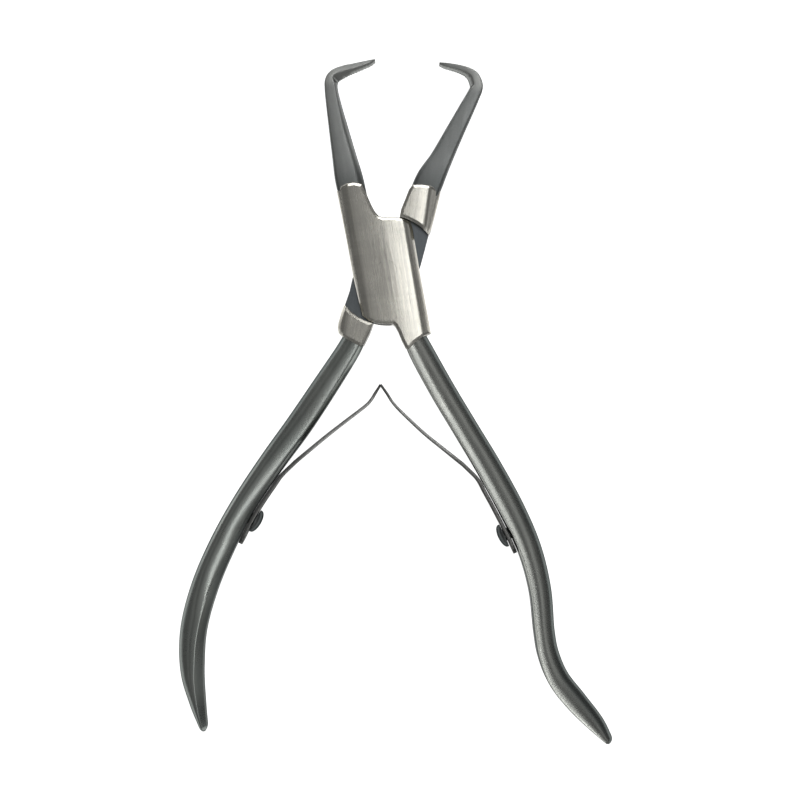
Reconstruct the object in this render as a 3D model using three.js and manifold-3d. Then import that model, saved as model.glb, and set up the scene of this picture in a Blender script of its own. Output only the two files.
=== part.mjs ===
// Box-joint pliers with long hooked jaws and a pair of leaf return springs.
// Millimetres and degrees. The pivot axis is Z, the underside of the box is z = 0 and +Y runs towards
// the jaw tips. Each lever is drawn in its own closed position and turned by half the opening.
import * as THREE from 'three';
import { mergeVertices } from 'three/addons/utils/BufferGeometryUtils.js';
import Module from 'manifold-3d';

const wasm = await Module();
wasm.setup();

// The joint
const openAngle = 17.2;         // between the levers when the springs hold them open
const boxThickness = 8;
const plateRadius = 12.55;      // round ends of the box plates, about the pivot
const shoulderGap = 0.2;        // from the plates' round ends to the other lever's shoulders
const tongueThickness = 3.4;
const tongueFaceGap = 0.15;     // each side of the tongue, in the slot
const tongueSideGap = 0.25;     // beyond the tongue's sides, over the whole swing
const overSwing = 0.6;          // degrees that the slot allows past open and closed
const rootInset = 6;            // degrees that the tongue draws in at each side where it enters a shoulder
const pinRadius = 2.2;
const pinClearance = 0.05;      // radial

// The jaws
const padEnd = 20;              // from the pivot to where pads give way to jaws and handles
const jawLength = 26;           // from the pad to the bend of the hook
const jawRootDepth = 6.8;
const bendDepth = 3.6;
const tipDepth = 1.8;
const tipWidth = 1;
const tipGap = 0.16;            // between the two tips when closed
const tipLine = 4.75;           // where the tips meet, right of the pivot
const tipTrim = 0.6;            // drawn past that line, then cut off square

// The handles
const boxHandleLength = 97.2;   // from the pad to the end
const tongueHandleLength = 93.2;
const handleWidth = 6;          // at the middle of the grip
const handleDepth = 7.2;
const handleEndDepth = 5;

// The leaf springs and their screws
const leafThickness = 0.9;
const leafTipThickness = 0.5;
const leafWidth = 4.6;
const leafTipWidth = 3.8;
const seatGap = 0.2;            // under a leaf and under a screw head
const flexGap = 0.3;            // between a leaf's clamped foot and its moving blade
const springPeak = [-1.5, -26.6];   // where the blades cross, with the tool open
const forkWidth = 2;
const forkDepth = 3;
const tabClearance = 0.3;       // each side of the tab in the fork
const tabLength = 2;            // of which a part stands past the crossing
const tabOverrun = 0.4;
const screwHeadRadius = 2.8;
const screwHeadHeight = 1.5;
const screwHeadRim = 0.3;       // straight side below the dome
const screwShankRadius = 1.4;
const screwHoleClearance = 0.1;
const screwDepth = 3;           // into the handle
const screwHoleSpare = 0.3;     // drilled past the screw's end

const middle = boxThickness / 2;
const seam = 1;                 // how far joined bodies run into each other
const shoulderRadius = plateRadius + shoulderGap;
const circleSides = 48;

// How finely the bars are drawn, in steps along each
const jawSteps = 48;
const handleSteps = 44;
const footSteps = 24;
const bladeSteps = 28;
const domeSteps = 6;

const colours = { pad: 0xa9a8a0, tongue: 0x4b5350, leaf: 0x6f7471, screw: 0x4a4f4d, pin: 0xb0afa8 };

function steel(colour, roughness) {
  return new THREE.MeshStandardMaterial({ color: colour, roughness, metalness: 1 });
}

// Closed triangle mesh to solid and back

function signedVolume(geometry) {
  const corners = geometry.getAttribute('position');
  const index = geometry.getIndex();
  const [a, b, c] = [new THREE.Vector3(), new THREE.Vector3(), new THREE.Vector3()];
  let sum = 0;
  for (let i = 0; i < index.count; i += 3) {
    a.fromBufferAttribute(corners, index.getX(i));
    b.fromBufferAttribute(corners, index.getX(i + 1));
    c.fromBufferAttribute(corners, index.getX(i + 2));
    sum += a.dot(b.cross(c)) / 6;
  }
  return sum;
}

function solidOf(geometry) {
  const bare = geometry.clone();
  bare.deleteAttribute('normal');
  bare.deleteAttribute('uv');
  const merged = mergeVertices(bare, 1e-4);
  const triVerts = Uint32Array.from(merged.getIndex().array);
  if (signedVolume(merged) < 0) {
    triVerts.reverse();
  }
  const vertProperties = Float32Array.from(merged.getAttribute('position').array);
  return new wasm.Manifold(new wasm.Mesh({ numProp: 3, vertProperties, triVerts }));
}

function geometryOf(solid) {
  const mesh = solid.getMesh();
  const geometry = new THREE.BufferGeometry();
  geometry.setAttribute('position', new THREE.BufferAttribute(mesh.vertProperties, 3));
  geometry.setIndex(new THREE.BufferAttribute(mesh.triVerts, 1));
  geometry.computeVertexNormals();
  return geometry;
}

// Building shapes

function radians(degrees) {
  return THREE.MathUtils.degToRad(degrees);
}

function turned([x, y], degrees) {
  const point = new THREE.Vector2(x, y).rotateAround(new THREE.Vector2(), radians(degrees));
  return [point.x, point.y];
}

function arc(radius, fromDegrees, toDegrees, count) {
  const points = [];
  for (let i = 0; i <= count; i += 1) {
    points.push(turned([radius, 0], fromDegrees + (toDegrees - fromDegrees) * i / count));
  }
  return points;
}

function slab(points, low, high) {
  const shape = new THREE.Shape(points.map(([x, y]) => new THREE.Vector2(x, y)));
  const geometry = new THREE.ExtrudeGeometry(shape, { depth: high - low, bevelEnabled: false });
  geometry.translate(0, 0, low);
  return solidOf(geometry);
}

// A bar's course: stations of [x, y, width, depth], smoothed together
class Course {
  constructor(stations) {
    const curve = (pick) => new THREE.CatmullRomCurve3(stations.map(pick), false, 'catmullrom', 0.5);
    this.line = curve(([x, y]) => new THREE.Vector3(x, y, 0));
    this.sizes = curve(([, , width, depth]) => new THREE.Vector3(width, depth, 0));
  }

  at(u) {
    const { x, y } = this.line.getPoint(u);
    const tangent = this.line.getTangent(u);
    const { x: width, y: depth } = this.sizes.getPoint(u);
    return { x, y, width, depth, leftX: -tangent.y, leftY: tangent.x };
  }

  // The place along a course that runs down -Y where it reaches a given y
  whereY(y) {
    let [above, below] = [0, 1];
    for (let i = 0; i < 40; i += 1) {
      const half = (above + below) / 2;
      if (this.line.getPoint(half).y > y) {
        above = half;
      } else {
        below = half;
      }
    }
    return above;
  }

  // A point off the bar's left (side 1) or right (side -1) face
  offFace(u, side, distance) {
    const { x, y, width, leftX, leftY } = this.at(u);
    const reach = side * (width / 2 + distance);
    return [x + leftX * reach, y + leftY * reach];
  }
}

// profile: points of [across, up] from -1 to 1; across is positive towards the left of the course, or
// towards the right with side -1
function bar(course, profile, steps, side = 1) {
  const corners = [];
  const faces = [];
  const sides = profile.length;
  for (let i = 0; i <= steps; i += 1) {
    const { x, y, width, depth, leftX, leftY } = course.at(i / steps);
    for (const [across, up] of profile) {
      const reach = side * across * width / 2;
      corners.push(x + leftX * reach, y + leftY * reach, middle + up * depth / 2);
    }
  }
  for (let i = 0; i < steps; i += 1) {
    for (let j = 0; j < sides; j += 1) {
      const [a, b] = [i * sides + j, i * sides + (j + 1) % sides];
      faces.push(a, b, b + sides, a, b + sides, a + sides);
    }
  }
  const last = steps * sides;
  for (let j = 1; j < sides - 1; j += 1) {
    faces.push(0, j + 1, j, last, last + j, last + j + 1);
  }
  const geometry = new THREE.BufferGeometry();
  geometry.setAttribute('position', new THREE.Float32BufferAttribute(corners, 3));
  geometry.setIndex(faces);
  return solidOf(geometry);
}

function mirroredUp(half) {
  return [...half, ...half.map(([across, up]) => [across, -up]).reverse()];
}

const jawProfile = mirroredUp([[-1, 0.5], [-0.7, 0.9], [0.7, 0.9], [1, 0.5]]);
const handleProfile = mirroredUp([
  [-1, 0.62], [-0.9, 0.8], [-0.5, 1], [0, 0.97], [0.5, 0.76], [0.86, 0.42], [1, 0.1],
]);
const leafProfile = [[-1, -1], [-1, 1], [1, 1], [1, -1]];

function rod(radius, from, to) {
  const geometry = new THREE.CylinderGeometry(radius, radius, to - from, circleSides);
  geometry.rotateX(Math.PI / 2);
  geometry.translate(0, 0, (from + to) / 2);
  return geometry;
}

// The tongue, between its lever's two shoulders

function tongueEnd(from, to, runIn) {
  const corner = (degrees) => turned([shoulderRadius, 0], degrees);
  const rooted = arc(shoulderRadius + runIn, from + rootInset, to - rootInset, 8);
  return [corner(from), ...rooted, corner(to)];
}

// runIn: how far each end goes on past the shoulders' radius
function tongueOutline(runIn) {
  return [
    ...tongueEnd(-132, -96, runIn), [2.2, -9], [5, -5], [6.9, -1], [7.6, 2.5], [8, 6],
    ...tongueEnd(49, 84, runIn), [-2.2, 8.6], [-5, 4.4], [-6.9, 0.5], [-7.7, -3], [-7.9, -6],
  ];
}

function tongueSlot() {
  const clear = tongueOutline(tongueSideGap).map(([x, y]) => {
    const radius = Math.hypot(x, y);
    return [x * (1 + tongueSideGap / radius), y * (1 + tongueSideGap / radius)];
  });
  const half = tongueThickness / 2 + tongueFaceGap;
  const turns = 8;
  const swing = openAngle + 2 * overSwing;
  const copies = [];
  for (let i = 0; i <= turns; i += 1) {
    const angle = overSwing - swing * i / turns;
    copies.push(slab(clear.map((point) => turned(point, angle)), middle - half, middle + half));
  }
  return wasm.Manifold.union(copies);
}

// Jaws: an arm from the pad to the bend, then a hook that turns in to the line where the tips meet

function jawCourse(arm, hook, side) {
  const armStations = arm.map(([share, x, width]) => {
    const depth = THREE.MathUtils.lerp(jawRootDepth, bendDepth, Math.max(share, 0));
    return [x, padEnd + share * jawLength, width, depth];
  });
  const [bendX, bendY] = armStations.at(-1);
  const reach = tipLine + side * tipTrim - bendX;
  const hookStations = hook.map(([share, rise, width]) => {
    const depth = THREE.MathUtils.lerp(bendDepth, tipDepth, share);
    return [bendX + share * reach, bendY + rise, width, depth];
  });
  return new Course([...armStations, ...hookStations]);
}

const boxJaw = jawCourse(
  [
    [-0.2, -4.9, 6.2], [0.08, -5.5, 6.6], [0.3, -5.85, 5.7], [0.55, -6.2, 4.6], [0.78, -6.5, 3.6],
    [0.92, -6.55, 3.1], [1, -6.25, 3],
  ],
  [[0.1, 1.2, 2.9], [0.3, 1.9, 2.6], [0.5, 2.3, 2.1], [0.74, 2.75, 1.6], [1, 3.25, tipWidth]],
  1,
);
const tongueJaw = jawCourse(
  [
    [-0.2, 4.9, 6.2], [0.08, 6.6, 6.6], [0.3, 8.6, 5.2], [0.55, 10.7, 4.3], [0.78, 12.7, 3.6],
    [0.92, 13.9, 3.1], [1, 14.3, 3],
  ],
  [[0.1, 2, 2.7], [0.25, 3, 2.1], [0.45, 3.5, 1.7], [0.7, 3.75, 1.4], [1, 3.85, tipWidth]],
  -1,
);

// side: 1 for the jaw that reaches its tip from the left, -1 from the right
function trimmedJaw(course, side) {
  const face = tipLine - side * tipGap / 2;
  const past = tipLine + side * 2 * jawRootDepth;
  const top = padEnd + 2 * jawLength;
  const foot = padEnd + jawLength;
  const waste = slab([[face, foot], [past, foot], [past, top], [face, top]], 0, boxThickness);
  return bar(course, jawProfile, jawSteps).subtract(waste);
}

// Handles: stations are [share of the length, x, width as a share of the grip's width]

function handleCourse(length, stations) {
  return new Course(stations.map(([share, x, width]) => {
    const depth = THREE.MathUtils.lerp(handleDepth, handleEndDepth, Math.max(share, 0) ** 3);
    return [x, -padEnd - share * length, width * handleWidth, depth];
  }));
}

const boxHandle = handleCourse(boxHandleLength, [
  [-0.055, 3.6, 0.85], [0, 5.2, 0.97], [0.1, 8.8, 1], [0.2, 12.8, 1], [0.3, 16.8, 1.02], [0.41, 20.7, 1.02],
  [0.51, 23.4, 0.94], [0.61, 24.4, 0.87], [0.71, 23.9, 0.82], [0.77, 24.1, 0.84], [0.83, 25.6, 0.87],
  [0.89, 28.9, 0.86], [0.95, 32.7, 0.68], [1, 35.4, 0.3],
]);
const tongueHandle = handleCourse(tongueHandleLength, [
  [-0.055, -4.6, 0.85], [0, -6.4, 0.92], [0.1, -10.6, 1], [0.2, -15, 1.03], [0.31, -20.3, 1],
  [0.42, -25.1, 0.97], [0.53, -28.7, 1.03], [0.64, -31.3, 1.05], [0.75, -32.4, 1.02], [0.85, -31.3, 0.92],
  [0.93, -28.9, 0.62], [1, -26.2, 0.25],
]);

// Levers

function boxPad() {
  return [
    [1, 12.2], [2.6, 12.1], ...arc(plateRadius, 67, 55.5, 4), [7.4, 9], [7.5, 0], [7.9, -12], [8, -16],
    [6, -16.6], [4, -17.6], [2.3, -19], [1.6, -18.4], [1, -16.5], [0.5, -14.5], [0, -13.1],
    ...arc(plateRadius, -92, -114, 6), [-6, -10.9], [-7.2, -9.6], [-7.6, -5], [-8, 0], [-8.3, 9],
    [-8.8, padEnd], [-7.6, 20.9], [-6.2, 21.3], [-4.5, 21.3], [-2.7, 20.6], [-2.1, 18.5], [-1.3, 15.4],
    [-0.7, 13.8], [0, 12.7],
  ].reverse();
}

function upperShoulder() {
  return [
    ...arc(shoulderRadius, 49.3, 85, 8), [1.2, 14.5], [1.8, 17], [2.3, 19.2], [3, 20.5], [5, 20.9], [7, 20.9],
    [9, 20.5], [9.7, padEnd], [9.2, 14.5], [8.8, 11],
  ];
}

function lowerShoulder() {
  return [
    ...arc(shoulderRadius, -132.5, -96, 8), [-1.8, -15], [-2.7, -17.9], [-3.6, -18.4], [-5.5, -17.7],
    [-7.5, -17], [-8.9, -16.2], [-9.4, -15], [-9.4, -13.8], [-9, -11],
  ];
}

function pinBore() {
  return solidOf(rod(pinRadius + pinClearance, -seam, boxThickness + seam));
}

// Where each spring sits. inner is 1 where the handle's inner face is on the left of its course, otherwise
// -1. leafEnd, screw, leave and flex are y along the handle, and lift is how far the leaf stands off it at
// the flex point.
const boxSide = {
  handle: boxHandle, inner: -1, leafEnd: -69.2, screw: -64.2, leave: -50, flex: -45.7, lift: 1.2,
};
const tongueSide = {
  handle: tongueHandle, inner: 1, leafEnd: -67.2, screw: -61, leave: -49.5, flex: -45.2, lift: 0.8,
};

// Lays a shape drawn along +Z onto a handle's inner face at the screw, with +Z pointing off the face
function onScrewAxis({ handle, inner, screw }, distance) {
  const u = handle.whereY(screw);
  const { leftX, leftY } = handle.at(u);
  const [x, y] = handle.offFace(u, inner, distance);
  const outwards = new THREE.Vector3(inner * leftX, inner * leftY, 0);
  const turn = new THREE.Quaternion().setFromUnitVectors(new THREE.Vector3(0, 0, 1), outwards);
  return { place: new THREE.Vector3(x, y, middle), turn };
}

function screwHole(side) {
  const radius = screwShankRadius + screwHoleClearance;
  const geometry = rod(radius, -screwDepth - screwHoleSpare, leafThickness + 2 * seam);
  const { place, turn } = onScrewAxis(side, 0);
  geometry.applyQuaternion(turn);
  geometry.translate(place.x, place.y, place.z);
  return solidOf(geometry);
}

function boxLever() {
  const body = slab(boxPad(), 0, boxThickness);
  const jaw = trimmedJaw(boxJaw, 1);
  const handle = bar(boxHandle, handleProfile, handleSteps);
  return body.add(jaw).add(handle).subtract(tongueSlot()).subtract(pinBore()).subtract(screwHole(boxSide));
}

function tongueLever() {
  const shoulders = slab(upperShoulder(), 0, boxThickness).add(slab(lowerShoulder(), 0, boxThickness));
  const half = tongueThickness / 2;
  const tongue = slab(tongueOutline(seam), middle - half, middle + half);
  const jaw = trimmedJaw(tongueJaw, -1);
  const handle = bar(tongueHandle, handleProfile, handleSteps, -1);
  return shoulders.add(tongue).add(jaw).add(handle).subtract(pinBore()).subtract(screwHole(tongueSide));
}

// Leaf springs: a clamped foot that follows the handle's inner face, and the blade that flexes off it

function flexPoint({ handle, inner, flex, lift }) {
  return handle.offFace(handle.whereY(flex), inner, seatGap + leafThickness / 2 + lift);
}

function towards(from, to, distance) {
  const step = new THREE.Vector2(to[0] - from[0], to[1] - from[1]).setLength(distance);
  return [from[0] + step.x, from[1] + step.y];
}

function leafFoot(side) {
  const { handle, inner, leafEnd, leave } = side;
  const stations = [];
  const count = 6;
  for (let i = 0; i <= count; i += 1) {
    const y = THREE.MathUtils.lerp(leafEnd, leave, i / count);
    stations.push(handle.offFace(handle.whereY(y), inner, seatGap + leafThickness / 2));
  }
  stations.push(towards(flexPoint(side), stations.at(-1), flexGap / 2));
  const course = new Course(stations.map(([x, y]) => [x, y, leafThickness, leafWidth]));
  return bar(course, leafProfile, footSteps).subtract(screwHole(side));
}

// bow: [share of the way from the flex point to the peak, millimetres bowed away from the pivot]
function bladeCourse(side, ownAngle, bow) {
  const start = flexPoint(side);
  const peak = turned(springPeak, -ownAngle);
  const along = new THREE.Vector2(peak[0] - start[0], peak[1] - start[1]);
  const away = new THREE.Vector2(-along.y, along.x).setLength(-side.inner);
  const points = bow.map(([share, sag]) => [
    start[0] + along.x * share + away.x * sag,
    start[1] + along.y * share + away.y * sag,
  ]);
  const root = towards(start, points[0], flexGap / 2);
  const stations = [root, ...points, peak].map(([x, y], i) => {
    const share = i / (points.length + 1);
    return [
      x, y, THREE.MathUtils.lerp(leafThickness, leafTipThickness, share),
      THREE.MathUtils.lerp(leafWidth, leafTipWidth, share),
    ];
  });
  return new Course(stations);
}

const tongueBow = [[0.33, 0.4], [0.56, 0.85], [0.77, 1.3], [0.85, 1.15], [0.92, 0.6]];
const boxBow = [[0.21, 0.55], [0.44, 1.1], [0.71, 1.2], [0.82, 1], [0.91, 0.45]];
const tongueBlade = bladeCourse(tongueSide, -openAngle / 2, tongueBow);
const boxBlade = bladeCourse(boxSide, openAngle / 2, boxBow);

// A box across the end of a blade, from a distance before the peak to a distance past it
function endBlock(course, before, past, thickness, width) {
  const nearEnd = 1 - 1 / bladeSteps;
  const { x, y } = course.at(1);
  const back = course.at(nearEnd);
  const from = towards([x, y], [back.x, back.y], before);
  const to = towards([x, y], [2 * x - back.x, 2 * y - back.y], past);
  return bar(new Course([[...from, thickness, width], [...to, thickness, width]]), leafProfile, 1);
}

const cutThrough = 4 * leafThickness;

function tabBlade() {
  const tabWidth = forkWidth - 2 * tabClearance;
  const blade = bar(tongueBlade, leafProfile, bladeSteps);
  const clearing = endBlock(tongueBlade, tabLength - tabOverrun, seam, cutThrough, leafWidth);
  const tab = endBlock(tongueBlade, tabLength, tabOverrun, leafTipThickness, tabWidth);
  return blade.subtract(clearing).add(tab);
}

function forkBlade() {
  const fork = endBlock(boxBlade, forkDepth, seam, cutThrough, forkWidth);
  return bar(boxBlade, leafProfile, bladeSteps).subtract(fork);
}

// Spring screw, drawn with its head's seat at z = 0 and its shank pointing down
function springScrew() {
  const shankEnd = -(leafThickness + 2 * seatGap + screwDepth);
  const profile = [
    [0, shankEnd], [screwShankRadius, shankEnd], [screwShankRadius, 0], [screwHeadRadius, 0],
    [screwHeadRadius, screwHeadRim],
  ];
  const dome = screwHeadHeight - screwHeadRim;
  for (let i = 1; i < domeSteps; i += 1) {
    const angle = Math.PI / 2 * i / domeSteps;
    profile.push([screwHeadRadius * Math.cos(angle), screwHeadRim + dome * Math.sin(angle)]);
  }
  profile.push([0, screwHeadHeight]);
  const geometry = new THREE.LatheGeometry(profile.map(([x, y]) => new THREE.Vector2(x, y)), 32);
  geometry.rotateX(Math.PI / 2);
  return geometryOf(solidOf(geometry));
}

// The assembly

function piece(name, geometry, material) {
  const mesh = new THREE.Mesh(geometry, material);
  mesh.name = name;
  return mesh;
}

function screwPiece(name, side) {
  const mesh = piece(name, springScrew(), steel(colours.screw, 0.45));
  const { place, turn } = onScrewAxis(side, leafThickness + 2 * seatGap);
  mesh.position.copy(place);
  mesh.quaternion.copy(turn);
  return mesh;
}

const boxGroup = new THREE.Group();
boxGroup.rotation.z = radians(openAngle / 2);
boxGroup.add(
  piece('box_lever', geometryOf(boxLever()), steel(colours.pad, 0.38)),
  piece('pivot_pin', rod(pinRadius, 0, boxThickness), steel(colours.pin, 0.35)),
  piece('right_leaf_foot', geometryOf(leafFoot(boxSide)), steel(colours.leaf, 0.4)),
  piece('right_leaf_blade', geometryOf(forkBlade()), steel(colours.leaf, 0.4)),
  screwPiece('right_spring_screw', boxSide),
);

const tongueGroup = new THREE.Group();
tongueGroup.rotation.z = radians(-openAngle / 2);
tongueGroup.add(
  piece('tongue_lever', geometryOf(tongueLever()), steel(colours.tongue, 0.45)),
  piece('left_leaf_foot', geometryOf(leafFoot(tongueSide)), steel(colours.leaf, 0.4)),
  piece('left_leaf_blade', geometryOf(tabBlade()), steel(colours.leaf, 0.4)),
  screwPiece('left_spring_screw', tongueSide),
);

const pliers = new THREE.Group();
pliers.add(boxGroup, tongueGroup);

export default pliers;
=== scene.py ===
# Box-joint pliers with long hooked jaws and two leaf return springs: the shown pieces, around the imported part.
# Each lever is drawn in its own closed position, in millimetres, and turned by half the opening.
import math
import bpy
from mathutils import Matrix, Vector


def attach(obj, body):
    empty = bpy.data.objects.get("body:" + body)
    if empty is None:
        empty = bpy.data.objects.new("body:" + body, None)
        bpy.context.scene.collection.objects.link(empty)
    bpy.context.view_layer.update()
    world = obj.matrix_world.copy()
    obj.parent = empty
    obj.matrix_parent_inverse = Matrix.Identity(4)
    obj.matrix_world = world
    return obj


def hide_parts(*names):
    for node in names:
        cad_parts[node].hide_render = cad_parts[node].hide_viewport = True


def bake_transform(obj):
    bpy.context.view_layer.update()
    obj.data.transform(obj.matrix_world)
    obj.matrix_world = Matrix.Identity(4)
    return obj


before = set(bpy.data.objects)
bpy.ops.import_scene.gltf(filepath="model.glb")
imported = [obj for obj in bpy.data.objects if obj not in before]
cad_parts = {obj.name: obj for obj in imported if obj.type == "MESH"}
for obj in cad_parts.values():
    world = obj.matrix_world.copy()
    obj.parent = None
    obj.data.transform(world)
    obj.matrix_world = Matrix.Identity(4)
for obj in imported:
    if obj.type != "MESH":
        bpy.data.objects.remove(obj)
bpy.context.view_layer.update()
mm = 0.001
print("frame loaded")

joint = {
    "halfOpen": 8.6,             # degrees each lever is turned from closed
    "thickness": 8,
    "middle": 4,
    "plateRadius": 12.55,
    "shoulderRadius": 12.75,
    "tongueThickness": 3.4,
    "tongueFaceGap": 0.15,
    "tongueSideGap": 0.25,
    "overSwing": 0.6,
    "rootInset": 6,              # degrees the tongue draws in at each side where it enters a shoulder
    "boreRadius": 2.25,
    "boreReach": 1,              # how far the drill starts and stops beyond the faces
    "sweepSteps": 6,             # cutters that clear the tongue's room, less one
    "padEnd": 20,
    "grindSlope": 0.022,         # the ground faces run this much askew of the lever's axis
}


# Small geometry helpers

def turned(point, degrees):
    angle = math.radians(degrees)
    x, y = point
    return (x * math.cos(angle) - y * math.sin(angle), x * math.sin(angle) + y * math.cos(angle))


def arc(radius, start, stop, count):
    return [turned((radius, 0), start + (stop - start) * i / count) for i in range(count + 1)]


def between(low, high, share):
    return low + (high - low) * share


def eased(share):
    held = min(max(share, 0), 1)
    return held * held * (3 - 2 * held)


def readOff(stops, at):
    # straight-line reading of a list of (position, value)
    if at <= stops[0][0]:
        return stops[0][1]
    for (leftAt, leftValue), (rightAt, rightValue) in zip(stops, stops[1:]):
        if at <= rightAt:
            return between(leftValue, rightValue, (at - leftAt) / (rightAt - leftAt))
    return stops[-1][1]


def smoothAt(points, share):
    # the same smooth curve through the stations that the part uses
    spans = len(points) - 1
    span = min(int(share * spans), spans - 1)
    t = share * spans - span
    p1, p2 = points[span], points[span + 1]
    p0 = points[span - 1] if span else [2 * a - b for a, b in zip(p1, p2)]
    p3 = points[span + 2] if span + 2 <= spans else [2 * b - a for a, b in zip(p1, p2)]
    out = []
    for a, b, c, d in zip(p0, p1, p2, p3):
        v0, v1 = (c - a) / 2, (d - b) / 2
        out.append((2 * b - 2 * c + v0 + v1) * t ** 3 + (3 * c - 3 * b - 2 * v0 - v1) * t ** 2 + v0 * t + b)
    return out


def courseAt(stations, share):
    # (x, y), size values and the unit vector to the left of the course
    x, y, *sizes = smoothAt(stations, share)
    step = 0.002
    before = smoothAt(stations, max(share - step, 0))
    after = smoothAt(stations, min(share + step, 1))
    dx, dy = after[0] - before[0], after[1] - before[1]
    length = math.hypot(dx, dy)
    return (x, y), sizes, (-dy / length, dx / length)


def shareAtY(stations, y):
    # where a course that runs down -Y reaches y
    above, below = 0, 1
    for _ in range(40):
        half = (above + below) / 2
        if smoothAt(stations, half)[1] > y:
            above = half
        else:
            below = half
    return above


def edgeDistance(outline, x, y):
    best = 1e9
    for (ax, ay), (bx, by) in zip(outline, outline[1:] + outline[:1]):
        dx, dy = bx - ax, by - ay
        share = ((x - ax) * dx + (y - ay) * dy) / (dx * dx + dy * dy)
        share = min(max(share, 0), 1)
        best = min(best, math.hypot(x - ax - share * dx, y - ay - share * dy))
    return best


# Modelling helpers

def startAlone():
    if bpy.context.object and bpy.context.object.mode != "OBJECT":
        bpy.ops.object.mode_set(mode="OBJECT")
    bpy.ops.object.select_all(action="DESELECT")


def pick(piece):
    startAlone()
    piece.select_set(True)
    bpy.context.view_layer.objects.active = piece


def selectWhere(piece, kind, wanted):
    # leaves the piece in edit mode with just the wanted faces or edges selected
    pick(piece)
    bpy.ops.object.mode_set(mode="EDIT")
    bpy.ops.mesh.select_mode(type="FACE" if kind == "faces" else "EDGE")
    bpy.ops.mesh.select_all(action="DESELECT")
    bpy.ops.object.mode_set(mode="OBJECT")
    for part in piece.data.polygons if kind == "faces" else piece.data.edges:
        part.select = wanted(part)
    bpy.ops.object.mode_set(mode="EDIT")


def finishedNormals(piece):
    pick(piece)
    bpy.ops.object.mode_set(mode="EDIT")
    bpy.ops.mesh.select_all(action="SELECT")
    bpy.ops.mesh.normals_make_consistent(inside=False)
    bpy.ops.object.mode_set(mode="OBJECT")


def drawnOut(name, rings):
    # a closed bar: a filled circle drawn out once for each ring, then each ring laid in its place
    startAlone()
    count = len(rings[0])
    bpy.ops.mesh.primitive_circle_add(vertices=count, radius=1, fill_type="NGON")
    bar = bpy.context.object
    bar.name = name
    firstAngle = math.atan2(bar.data.vertices[0].co.y, bar.data.vertices[0].co.x)
    bpy.ops.object.mode_set(mode="EDIT")
    bpy.ops.mesh.select_all(action="SELECT")
    for _ in rings[1:]:
        bpy.ops.mesh.extrude_region_move(TRANSFORM_OT_translate={"value": (0, 0, 1)})
    bpy.ops.object.mode_set(mode="OBJECT")
    for corner in bar.data.vertices:
        angle = math.atan2(corner.co.y, corner.co.x) - firstAngle
        along = round(corner.co.z)
        around = round(angle / math.tau * count) % count
        corner.co = Vector(rings[along][around]) * mm
    finishedNormals(bar)
    return bar


def prism(name, outline, low, high):
    rings = [[(x, y, z) for x, y in outline] for z in (low, high)]
    return drawnOut(name, rings)


def cutLines(piece, places, slope):
    # lines cut across all its faces, without taking anything away
    pick(piece)
    bpy.ops.object.mode_set(mode="EDIT")
    for place in places:
        bpy.ops.mesh.select_all(action="SELECT")
        bpy.ops.mesh.bisect(plane_co=(place * mm, 0, 0), plane_no=(1, slope, 0), threshold=1e-7)
    bpy.ops.object.mode_set(mode="OBJECT")


def groundBlock(name, outline, profile, rim, slope):
    # a flat forging with its two broad faces ground to a profile across, and a broken edge all round
    middle = joint["middle"]
    block = prism(name, outline, 0, joint["thickness"])
    pick(block)
    for side in (1, -1):
        for inset in (rim[1][0], rim[2][0] - rim[1][0]):
            flat = max((f for f in block.data.polygons if f.normal.z * side > 0.99), key=lambda f: f.area).index
            selectWhere(block, "faces", lambda f: f.index == flat)
            bpy.ops.mesh.inset(thickness=inset * mm, depth=0)
            bpy.ops.object.mode_set(mode="OBJECT")
    cutLines(block, [place for place, _ in profile[1:-1]], slope)
    for corner in block.data.vertices:
        x, y, z = corner.co / mm
        side = 1 if z > middle else -1
        drop = readOff(rim, edgeDistance(outline, x, y))
        top = readOff(profile, x + slope * y) - middle - drop
        corner.co.z = (middle + side * top) * mm
    return block


def joined(piece, others, how):
    # unites the others with the piece, or takes them away from it
    for other in others:
        pick(piece)
        cut = piece.modifiers.new("shape", "BOOLEAN")
        cut.operation = how
        cut.solver = "MANIFOLD"
        cut.material_mode = "TRANSFER"
        cut.object = other
        bpy.ops.object.modifier_apply(modifier=cut.name)
        bpy.data.objects.remove(other)


crispBelow = {"pad": 12, "pin": 12, "handle": 22}    # degrees, by the start of the material's name
crispOther = 36


def levelShading(piece):
    # ground faces keep their edges crisp; bars and turned parts are smoothed over
    return [next((crispBelow[start] for start in crispBelow if material.name.startswith(start)), crispOther)
            for material in piece.data.materials]


def settle(piece, degrees, smoothBelow):
    # turned to where it stands when the tool is open, smoothed, and its place put in its mesh
    pick(piece)
    bpy.ops.object.mode_set(mode="EDIT")
    bpy.ops.mesh.select_all(action="SELECT")
    bpy.ops.mesh.remove_doubles(threshold=0.000002)
    bpy.ops.mesh.delete_loose(use_verts=True, use_edges=True, use_faces=False)
    bpy.ops.mesh.select_all(action="SELECT")
    bpy.ops.mesh.normals_make_consistent(inside=False)
    bpy.ops.object.mode_set(mode="OBJECT")
    piece.rotation_euler.z = math.radians(degrees)
    bpy.ops.object.transform_apply(location=True, rotation=True, scale=True)
    bpy.ops.object.shade_smooth()
    limits = [math.radians(limit) for limit in smoothBelow]
    seen, sharp = {}, set()
    for face in piece.data.polygons:
        for key in face.edge_keys:
            kind, facing = seen.setdefault(key, (face.material_index, face.normal.copy()))
            if kind != face.material_index or face.normal.angle(facing) > limits[kind]:
                sharp.add(key)
    selectWhere(piece, "edges", lambda edge: edge.key in sharp)
    bpy.ops.mesh.mark_sharp()
    bpy.ops.object.mode_set(mode="OBJECT")


# Material helpers

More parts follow.
